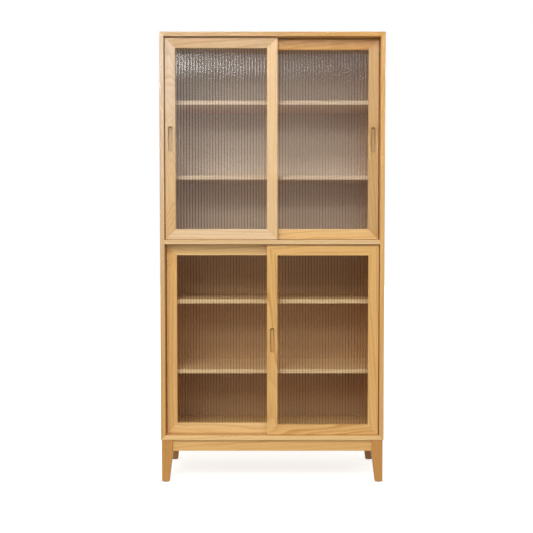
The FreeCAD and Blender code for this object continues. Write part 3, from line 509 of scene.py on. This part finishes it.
WHEAT_OAK = (226, 189, 134)
CREAM_OAK = (241, 212, 173)
FAWN_OAK = (214, 178, 121)
STILE_KNOT = (0.018, 0.060)
FRAME_BOARDS = {
    "upper_left_door": {
        "left_stile": {"tone": SAP_OAK, "heart": (0.012, 0.060, 0.0), "lean": (4.0, 1.2),
                       "spacing": 0.0028, "sway": 0.050, "contrast": 0.7, "end_tone": WHEAT_OAK},
        "right_stile": {"tone": STRAW_OAK, "heart": (0.070, 0.040, 0.0), "lean": (0.8, 0.5),
                        "spacing": 0.0060, "sway": 0.025, "contrast": 0.5},
        "top_rail": {"tone": BUFF_OAK, "heart": (0.1, 0.060, 0.04), "lean": (1.2, 0.8),
                     "spacing": 0.0065, "sway": 0.030, "contrast": 0.6},
        "bottom_rail": {"tone": CREAM_OAK, "heart": (0.0, 0.050, -0.05), "lean": (0.9, 1.0),
                        "spacing": 0.0065, "sway": 0.030, "contrast": 0.5}},
    "upper_right_door": {
        "left_stile": {"tone": HONEY_OAK, "heart": (0.060, 0.040, 0.0), "lean": (0.8, 0.5),
                       "spacing": 0.0060, "sway": 0.025, "contrast": 0.5},
        "right_stile": {"tone": FAWN_OAK, "heart": (-0.055, 0.045, 0.2), "lean": (1.0, 0.9),
                        "spacing": 0.0065, "sway": 0.030, "contrast": 0.6},
        "top_rail": {"tone": OCHRE_OAK, "heart": (0.15, 0.055, 0.045), "lean": (1.2, 0.9),
                     "spacing": 0.0065, "sway": 0.032, "contrast": 0.8},
        "bottom_rail": {"tone": GOLD_OAK, "heart": (-0.1, 0.055, 0.04), "lean": (1.5, 1.0),
                        "spacing": 0.0065, "sway": 0.034, "contrast": 0.7}},
    "lower_left_door": {
        "left_stile": {"tone": HONEY_OAK, "heart": (0.055, 0.050, 0.1), "lean": (0.9, 0.9),
                       "spacing": 0.0070, "sway": 0.028, "contrast": 0.6, "knot": STILE_KNOT},
        "right_stile": {"tone": HONEY_OAK, "heart": (0.050, 0.050, 0.0), "lean": (0.8, 0.5),
                        "spacing": 0.0060, "sway": 0.025, "contrast": 0.6},
        "top_rail": {"tone": GOLD_OAK, "heart": (0.1, 0.045, 0.075), "lean": (0.5, 0.5),
                     "spacing": 0.0060, "sway": 0.024, "contrast": 0.6},
        "bottom_rail": {"tone": GOLD_OAK, "heart": (-0.1, 0.060, -0.03), "lean": (1.4, 0.8),
                        "spacing": 0.0065, "sway": 0.034, "contrast": 0.6}},
    "lower_right_door": {
        "left_stile": {"tone": HONEY_OAK, "heart": (-0.015, 0.052, 0.1), "lean": (2.2, 1.0),
                       "spacing": 0.0075, "sway": 0.046, "contrast": 1.0},
        "right_stile": {"tone": HONEY_OAK, "heart": (-0.055, 0.050, 0.1), "lean": (0.8, 0.8),
                        "spacing": 0.0065, "sway": 0.028, "contrast": 0.6},
        "top_rail": {"tone": HONEY_OAK, "heart": (-0.1, 0.050, 0.06), "lean": (0.9, 0.8),
                     "spacing": 0.0065, "sway": 0.028, "contrast": 0.6},
        "bottom_rail": {"tone": HONEY_OAK, "heart": (0.1, 0.048, 0.02), "lean": (2.0, 1.2),
                        "spacing": 0.0070, "sway": 0.042, "contrast": 1.0}}}
PULL_STILES = ("upper_left_door_left_stile", "upper_right_door_right_stile", "lower_right_door_left_stile")
PULL_RADIUS = 0.0082
PULL_HALF_STRAIGHT = 0.042
PULL_DEPTH = 0.0105
# Painted shade darkens the hollow's wall and the edge of its floor, more at the top than at the foot
PULL_RIM = 0.0055
PULL_RIM_PAINTED_SHADE = (0.50, 0.36, 0.22)
PULL_FLOOR_SHADE = (0.90, 0.93, 1.0)
PULL_PAINTED_SHADE_AT_FOOT = 0.35


def make_pull_hollow():
    """Masks of a routed hollow with round ends: 1 in all of it, and painted shade along its wall, strongest
    at the top.
    """
    tree, given, result = new_group(
        "pull hollow",
        [("Position", "Vector"), ("Centre", "Vector")],
        [("Inside", "Float"), ("Painted Rim Shade", "Float")])
    offset = split_vector(tree, calculate_vector(tree, "SUBTRACT", given["Position"], given["Centre"]))
    past_end = calculate(tree, "SUBTRACT", calculate(tree, "ABSOLUTE", offset["Z"]), PULL_HALF_STRAIGHT)
    past_end = calculate(tree, "POWER", calculate(tree, "MAXIMUM", past_end, 0.0), 2.0)
    across = calculate(tree, "MULTIPLY", offset["X"], offset["X"])
    away = calculate(tree, "SQRT", calculate(tree, "ADD", across, past_end))
    inside = calculate(tree, "LESS_THAN", away, PULL_RADIUS)
    inside = calculate(tree, "MULTIPLY", inside, calculate(tree, "LESS_THAN", offset["Y"], PULL_DEPTH))
    tree.links.new(inside, result["Inside"])
    # Painted shade along the wall, fading towards the foot
    painted_rim_shade = remap(tree, away, PULL_RADIUS - PULL_RIM, PULL_RADIUS)
    reach = PULL_HALF_STRAIGHT + PULL_RADIUS
    painted_rim_shade = calculate(tree, "MULTIPLY", painted_rim_shade, remap(tree, offset["Z"], -reach, reach, PULL_PAINTED_SHADE_AT_FOOT, 1.0))
    tree.links.new(calculate(tree, "MULTIPLY", painted_rim_shade, inside), result["Painted Rim Shade"])
    return tree


def shade_pull(stile, tree, shader, position):
    """Leaves a hollow's floor bare and a little grey, and paints shade on its wall, darkest at the top."""
    low, high = corners_of(stile)
    hollow = tree.nodes.new("ShaderNodeGroup")
    hollow.node_tree = pull_hollow
    hollow.inputs["Centre"].default_value = ((low.x + high.x) / 2, low.y, (low.z + high.z) / 2)
    tree.links.new(position, hollow.inputs["Position"])
    shade_where(tree, shader, hollow.outputs["Inside"], PULL_FLOOR_SHADE)
    shade_where(tree, shader, hollow.outputs["Painted Rim Shade"], PULL_RIM_PAINTED_SHADE)


pull_hollow = make_pull_hollow()
for door, boards in FRAME_BOARDS.items():
    for board, cut in boards.items():
        piece = door + "_" + board
        sawn = timber(piece, "Z" if board.endswith("stile") else "X", **cut)
        if piece in PULL_STILES:
            shade_pull(piece, *sawn)
    timber(door + "_glazing_beads", "Z", HONEY_OAK, heart=(0.05, 0.05, 0.0), lean=(0.5, 0.5), spacing=0.005)
    timber(door + "_corner_keys", "X", **BEECH_STICK)


# Reeded glass
# One pane of clear rolled glass to a door, flat behind, with shallow round ribs standing upright in front.
# It sits in the frame's rebate and is held by the beads.

RIB_COUNT = 32
RIB_PITCH = 0.0116
RIB_DEPTH = 0.0016
RIB_SWEEP = math.radians(150)
RIB_STEPS = 14
RIB_MERGE_DISTANCE = RIB_PITCH / 1000
SHARPEST_SMOOTH_EDGE = math.radians(20)
RISE_LAYER = "rib_rise"
GLASS_TINT = (245, 247, 244)
# The valley tint is painted shade, for the dark lines that the ribs' bending of the view shows
VALLEY_PAINTED_SHADE = (34, 27, 22)
VALLEY_RISE = 0.76
GLASS_IOR = 1.5
GLASS_ROUGHNESS = 0.05
GLASS_SHADOW = (0.965, 0.965, 0.96, 1.0)
ROLLER_RIPPLE_SCALE = 60.0
ROLLER_RIPPLE_STRETCH = (1.0, 1.0, 0.25)
ROLLER_RIPPLE_STRENGTH = 0.1
ROLLER_RIPPLE_DEPTH = 0.00006

# A Mix Shader node's two sockets share one name, so they are taken by their places
MIX_FIRST_SHADER = 1
MIX_SECOND_SHADER = 2


def make_glass():
    """Clear glass with painted shade in its valleys, that bends what is seen through it and lets light
    straight in.
    """
    material, shader = new_material("reeded glass")
    tree = material.node_tree
    rise = tree.nodes.new("ShaderNodeAttribute")
    rise.attribute_name = RISE_LAYER
    # Painted shade: the glass darkens towards each valley
    crown = remap(tree, rise.outputs["Fac"], 0.0, VALLEY_RISE)
    glass_colour = mix_colour(tree, crown, screen_colour(VALLEY_PAINTED_SHADE), screen_colour(GLASS_TINT))
    tree.links.new(glass_colour, shader.inputs["Base Color"])
    shader.inputs["Roughness"].default_value = GLASS_ROUGHNESS
    shader.inputs["IOR"].default_value = GLASS_IOR
    shader.inputs["Transmission Weight"].default_value = 1.0
    position = tree.nodes.new("ShaderNodeTexCoord").outputs["Object"]
    ripple = noise(tree, position, ROLLER_RIPPLE_STRETCH, ROLLER_RIPPLE_SCALE)
    roughen(tree, shader, ripple, ROLLER_RIPPLE_STRENGTH, ROLLER_RIPPLE_DEPTH)
    path = tree.nodes.new("ShaderNodeLightPath")
    straight = calculate(tree, "MAXIMUM", path.outputs["Is Shadow Ray"], path.outputs["Is Diffuse Ray"])
    clear = tree.nodes.new("ShaderNodeBsdfTransparent")
    clear.inputs["Color"].default_value = GLASS_SHADOW
    mix = tree.nodes.new("ShaderNodeMixShader")
    tree.links.new(straight, mix.inputs["Fac"])
    tree.links.new(shader.outputs["BSDF"], mix.inputs[MIX_FIRST_SHADER])
    tree.links.new(clear.outputs["BSDF"], mix.inputs[MIX_SECOND_SHADER])
    tree.links.new(mix.outputs["Shader"], tree.nodes["Material Output"].inputs["Surface"])
    return material


def verts_in(geometry):
    """The vertices in what an operator gives back."""
    return [item for item in geometry if isinstance(item, bmesh.types.BMVert)]


def finish_mesh(bm, name, material):
    """Turns a bmesh into an object at the origin with one material."""
    mesh = bpy.data.meshes.new(name)
    bm.to_mesh(mesh)
    bm.free()
    mesh.materials.append(material)
    piece = bpy.data.objects.new(name, mesh)
    bpy.context.scene.collection.objects.link(piece)
    return piece


def reeded_pane(door, material):
    """Spins and flattens one rib's arc, repeats it, closes the section behind and draws it up."""
    low, high = corners_of(door + "_glass")
    sheet_front = low.y + RIB_DEPTH
    first_rib = (low.x + high.x - RIB_COUNT * RIB_PITCH) / 2
    arc_radius = RIB_PITCH / 2 / math.sin(RIB_SWEEP / 2)
    arc_drop = arc_radius * math.cos(RIB_SWEEP / 2)
    flattening = RIB_DEPTH / (arc_radius - arc_drop)
    arc_centre = (first_rib + RIB_PITCH / 2, sheet_front + arc_drop, low.z)

    bm = bmesh.new()
    valley = bm.verts.new((first_rib, sheet_front, low.z))
    bmesh.ops.spin(bm, geom=[valley], cent=arc_centre, axis=(0, 0, 1), angle=RIB_SWEEP, steps=RIB_STEPS)
    to_sheet = Matrix.Translation((0, -sheet_front, 0))
    bmesh.ops.scale(bm, vec=(1, flattening, 1), space=to_sheet, verts=bm.verts[:])
    rise_layer = bm.verts.layers.float.new(RISE_LAYER)
    for vert in bm.verts:
        vert[rise_layer] = (sheet_front - vert.co.y) / RIB_DEPTH
    rib = bm.verts[:] + bm.edges[:]
    for index in range(1, RIB_COUNT):
        copied = verts_in(bmesh.ops.duplicate(bm, geom=rib)["geom"])
        bmesh.ops.translate(bm, verts=copied, vec=(index * RIB_PITCH, 0, 0))
    bmesh.ops.remove_doubles(bm, verts=bm.verts[:], dist=RIB_MERGE_DISTANCE)

    across = sorted(bm.verts, key=lambda vert: vert.co.x)
    border = [bm.verts.new((x, y, low.z)) for x, y in (
        (high.x, sheet_front), (high.x, high.y), (low.x, high.y), (low.x, sheet_front))]
    for vert in border:
        vert[rise_layer] = 1.0
    loop = [across[-1]] + border + [across[0]]
    for start, end in zip(loop, loop[1:]):
        bm.edges.new((start, end))
    section = bmesh.ops.contextual_create(bm, geom=bm.edges[:])["faces"]
    drawn = verts_in(bmesh.ops.extrude_face_region(bm, geom=section, use_keep_orig=True)["geom"])
    bmesh.ops.translate(bm, verts=drawn, vec=(0, 0, high.z - low.z))
    bmesh.ops.recalc_face_normals(bm, faces=bm.faces[:])
    for edge in bm.edges:
        edge.smooth = edge.calc_face_angle() < SHARPEST_SMOOTH_EDGE
    for face in bm.faces:
        face.smooth = True

    pane = finish_mesh(bm, door + "_reeded_pane", material)
    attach(pane, door)
    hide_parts(door + "_glass")


reeded_glass = make_glass()
for door in FRAME_BOARDS:
    reeded_pane(door, reeded_glass)


# Runners and bumpers
# Nylon runners and guides let into the rails slide in the channels. Small grey rubber bumpers
# on the side panels stop the doors.

RUBBER_LIGHT = (150, 147, 142)
RUBBER_DARK = (128, 125, 120)

for door in FRAME_BOARDS:
    dress(door + "_sliders", moulded_nylon)
bumper_rubber = worked_surface("bumper rubber", RUBBER_LIGHT, RUBBER_DARK, scale=1800.0, depth=0.00006,
                               roughness=0.62, spread=0.06)
dress("door_bumpers", bumper_rubber)


# Studio
# A pale floor and a white surround. Two soft lamps in front, high and to the left, light the cabinet, and a
# gridded one reaches in between the upper shelves. Strips, a wash, a card and dark cloths stand where the
# glass mirrors them.

WHITE = (1.0, 1.0, 1.0, 1.0)
FLOOR_SIZE = 24.0
FLOOR_DROP = 0.0002
FLOOR_COLOUR = (0.55, 0.55, 0.54, 1.0)
FLOOR_ROUGHNESS = 0.9
FLOOR_LIFT_NEAR = 0.74
FLOOR_LIFT_FAR = 1.0
FLOOR_LIFT_START = 0.9
FLOOR_LIFT_END = 3.0
SURROUND_LIGHT = (0.58, 0.555, 0.515, 1.0)
CLOTH_COLOUR = (0.02, 0.02, 0.02, 1.0)
UPPER_DOORS = (0.0, -0.19, 1.7)
STRIP_SIZE = (1.5, 0.12)
STRIP_POWER = 1.4
CAMERA_PLACE = (-0.0232, -3.958, 1.046)
CAMERA_PITCH_DOWN = 2.60
CAMERA_LENS = 63.36


def seen_directly(tree):
    """1 for what the camera sees, straight, mirrored or through glass, and 0 for light."""
    path = tree.nodes.new("ShaderNodeLightPath")
    seen = calculate(tree, "MAXIMUM", path.outputs["Is Camera Ray"], path.outputs["Is Glossy Ray"])
    return calculate(tree, "MAXIMUM", seen, path.outputs["Is Transmission Ray"])


def flat_sheet(width, length):
    """A bmesh with one level rectangle about the origin."""
    bm = bmesh.new()
    bmesh.ops.create_grid(bm, x_segments=1, y_segments=1, size=1.0)
    bmesh.ops.scale(bm, vec=(width / 2, length / 2, 1.0), verts=bm.verts[:])
    return bm


def make_floor():
    """A matt pale floor that keeps the object's shadow and fades to white away from it."""
    material, shader = new_material("pale floor")
    tree = material.node_tree
    shader.inputs["Base Color"].default_value = FLOOR_COLOUR
    shader.inputs["Roughness"].default_value = FLOOR_ROUGHNESS
    shader.inputs["Specular IOR Level"].default_value = 0.0
    position = tree.nodes.new("ShaderNodeTexCoord").outputs["Object"]
    away = calculate_vector(tree, "LENGTH", position)
    lift = remap(tree, away, FLOOR_LIFT_START, FLOOR_LIFT_END, FLOOR_LIFT_NEAR, FLOOR_LIFT_FAR)
    shader.inputs["Emission Color"].default_value = WHITE
    tree.links.new(calculate(tree, "MULTIPLY", lift, seen_directly(tree)), shader.inputs["Emission Strength"])
    bm = flat_sheet(FLOOR_SIZE, FLOOR_SIZE)
    bmesh.ops.translate(bm, verts=bm.verts[:], vec=(0, 0, -FLOOR_DROP))
    floor = finish_mesh(bm, "studio_floor", material)


def make_surround():
    """A white surround to look at, which lights the object at a lower, plain level."""
    world = bpy.data.worlds.new("white surround")
    world.use_nodes = True
    tree = world.node_tree
    colour = mix_colour(tree, seen_directly(tree), SURROUND_LIGHT, WHITE)
    tree.links.new(colour, tree.nodes["Background"].inputs["Color"])
    bpy.context.scene.world = world


def soft_lamp(name, place, aim, size, power, colour=(1.0, 1.0, 1.0), spread=180.0,
              in_ribs=False, in_pane=False, on_wood=True):
    """A rectangular soft lamp that faces a point.

    in_ribs and in_pane say whether the ribs and a pane's rear face mirror it, and on_wood whether it lights
    the wood.
    """
    lamp = bpy.data.lights.new(name, "AREA")
    lamp.shape = "RECTANGLE"
    lamp.size, lamp.size_y = size
    lamp.energy = power
    lamp.color = colour
    lamp.spread = math.radians(spread)
    holder = bpy.data.objects.new(name, lamp)
    holder.location = place
    holder.rotation_euler = (Vector(aim) - Vector(place)).to_track_quat("-Z", "Y").to_euler()
    holder.visible_glossy = in_ribs
    holder.visible_transmission = in_pane
    holder.visible_diffuse = on_wood
    bpy.context.scene.collection.objects.link(holder)


def make_dark_cloth():
    """Matt black cloth."""
    material, shader = new_material("dark cloth")
    shader.inputs["Base Color"].default_value = CLOTH_COLOUR
    shader.inputs["Roughness"].default_value = 1.0
    return material


def hang_cloth(name, material, size, place, turn=0.0):
    """A cloth that only glass mirrors, tipped up from the floor by so many degrees."""
    bm = flat_sheet(*size)
    bmesh.ops.rotate(bm, matrix=Matrix.Rotation(math.radians(turn), 3, "X"), verts=bm.verts[:])
    bmesh.ops.translate(bm, verts=bm.verts[:], vec=place)
    cloth = finish_mesh(bm, name, material)
    cloth.visible_camera = False
    cloth.visible_diffuse = False
    cloth.visible_shadow = False


def make_camera():
    """The photograph's view: from the front, a little left of the middle and below the top, tipped down."""
    lens = bpy.data.cameras.new("view")
    lens.lens = CAMERA_LENS
    camera = bpy.data.objects.new("view", lens)
    camera.location = CAMERA_PLACE
    camera.rotation_euler = (math.radians(90 - CAMERA_PITCH_DOWN), 0.0, 0.0)
    bpy.context.scene.collection.objects.link(camera)
    bpy.context.scene.camera = camera


make_floor()
make_surround()
soft_lamp("high_soft_lamp", place=(-0.8, -5.5, 5.2), aim=(0.0, 0.0, 0.8), size=(3.0, 1.2), power=170.0,
          colour=(0.96, 0.985, 1.04))
soft_lamp("far_soft_lamp", place=(-1.1, -6.2, 3.4), aim=(0.0, 0.0, 0.9), size=(3.6, 1.0), power=70.0,
          colour=(0.95, 0.985, 1.05))
soft_lamp("gridded_lamp", place=(-0.5, -8.0, 2.85), aim=(-0.1, 0.0, 1.75), size=(3.2, 0.25), power=2.2,
          colour=(0.90, 0.99, 1.12), spread=14.0)
soft_lamp("right_strip", place=(0.99, -3.02, 2.205), aim=UPPER_DOORS, size=STRIP_SIZE, power=STRIP_POWER,
          in_ribs=True)
soft_lamp("far_right_strip", place=(2.23, -2.20, 2.205), aim=UPPER_DOORS, size=STRIP_SIZE, power=STRIP_POWER,
          in_ribs=True)
soft_lamp("left_wash", place=(-1.20, -2.94, 2.18), aim=UPPER_DOORS, size=(1.6, 0.12), power=6.5, in_pane=True)
soft_lamp("pale_card", place=(-0.95, -2.95, 1.80), aim=(0.0, -0.19, 1.5), size=(1.5, 0.75), power=5.0,
          colour=(0.82, 0.97, 1.18), in_pane=True, on_wood=False)
dark_cloth = make_dark_cloth()
hang_cloth("floor_cloth", dark_cloth, size=(40.0, 40.0), place=(0.0, -21.0, 0.0002))
hang_cloth("side_flag", dark_cloth, size=(3.0, 2.6), place=(1.6, -3.5, 1.7), turn=-90.0)
make_camera()
